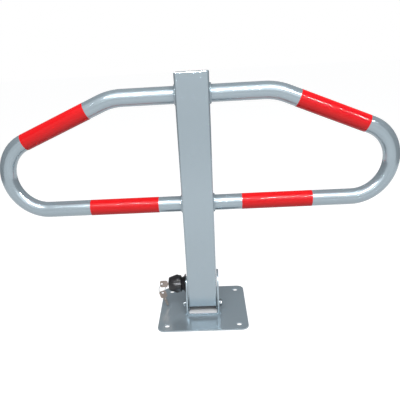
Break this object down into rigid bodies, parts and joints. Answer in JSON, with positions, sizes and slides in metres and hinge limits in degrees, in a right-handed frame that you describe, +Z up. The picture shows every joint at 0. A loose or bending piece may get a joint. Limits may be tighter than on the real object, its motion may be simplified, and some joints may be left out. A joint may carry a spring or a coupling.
{
  "type": "parking barrier",
  "caption": "Fold-down parking barrier: square post with bent tube wings and red reflective bands, hinged on a bolted base plate, held up by a keyed push lock.",
  "frame": {"origin": "middle of the base plate's underside, on the ground", "axes": "+X along the width over both wings, +Y to the back, away from the side the post folds to, +Z up"},
  "size_m": [1.0002, 0.245, 0.628],
  "materials": {
    "grey_paint": "glossy silver-grey powder coat",
    "zinc": "zinc-plated",
    "nickel": "nickel-plated, worn",
    "red_tape": "glossy reflective film",
    "black_plastic": "satin moulded plastic",
    "white_plastic": "smooth white sheet"
  },
  "bodies": {
    "base": {"base_plate": "grey_paint", "hinge_bracket": "grey_paint", "bracket_welds": "grey_paint", "slide_pad": "white_plastic", "hinge_bolt": "zinc", "hinge_nut": "zinc", "hinge_washers": "zinc", "spacer_washers": "black_plastic", "lock_guide": "zinc", "lock_flange": "black_plastic", "retaining_ring": "zinc"},
    "post": {"post": "grey_paint", "post_cap": "grey_paint", "pivot_sleeve": "zinc", "left_wing": "grey_paint", "right_wing": "grey_paint", "wing_welds": "grey_paint", "upper_left_tape": "red_tape", "upper_right_tape": "red_tape", "lower_left_tape": "red_tape", "lower_right_tape": "red_tape"},
    "lock": {"lock_knob": "black_plastic", "lock_pin": "zinc", "lock_spring": "zinc", "lock_cylinder": "nickel"},
    "key": {"cylinder_plug": "nickel", "key": "nickel"},
    "ring": {"key_ring": "nickel"},
    "spare_key": {"spare_key": "nickel"}
  },
  "joints": [
    {"name": "post_fold", "type": "hinge", "parent": "base", "child": "post", "pos_m": [0, -0.0215, 0.0283], "axis": [1, 0, 0], "range_deg": [0, 90]},
    {"name": "lock_push", "type": "slide", "parent": "base", "child": "lock", "axis": [1, 0, 0], "range_m": [0, 0.006], "stiffness_N_per_m": 600, "springref_m": -0.005, "deforming": ["lock_spring"]},
    {"name": "key_turn", "type": "hinge", "parent": "lock", "child": "key", "pos_m": [-0.1, 0.005, 0.079], "axis": [1, 0, 0], "range_deg": [0, 90]},
    {"name": "ring_swing", "type": "hinge", "parent": "key", "child": "ring", "pos_m": [-0.1153, 0.005, 0.0772], "axis": [0.7071, 0.7071, 0], "range_deg": [-30, 60]},
    {"name": "spare_key_swing", "type": "hinge", "parent": "ring", "child": "spare_key", "pos_m": [-0.1153, 0.005, 0.0532], "axis": [0.7071, 0.7071, 0], "range_deg": [-40, 60]}
  ]
}
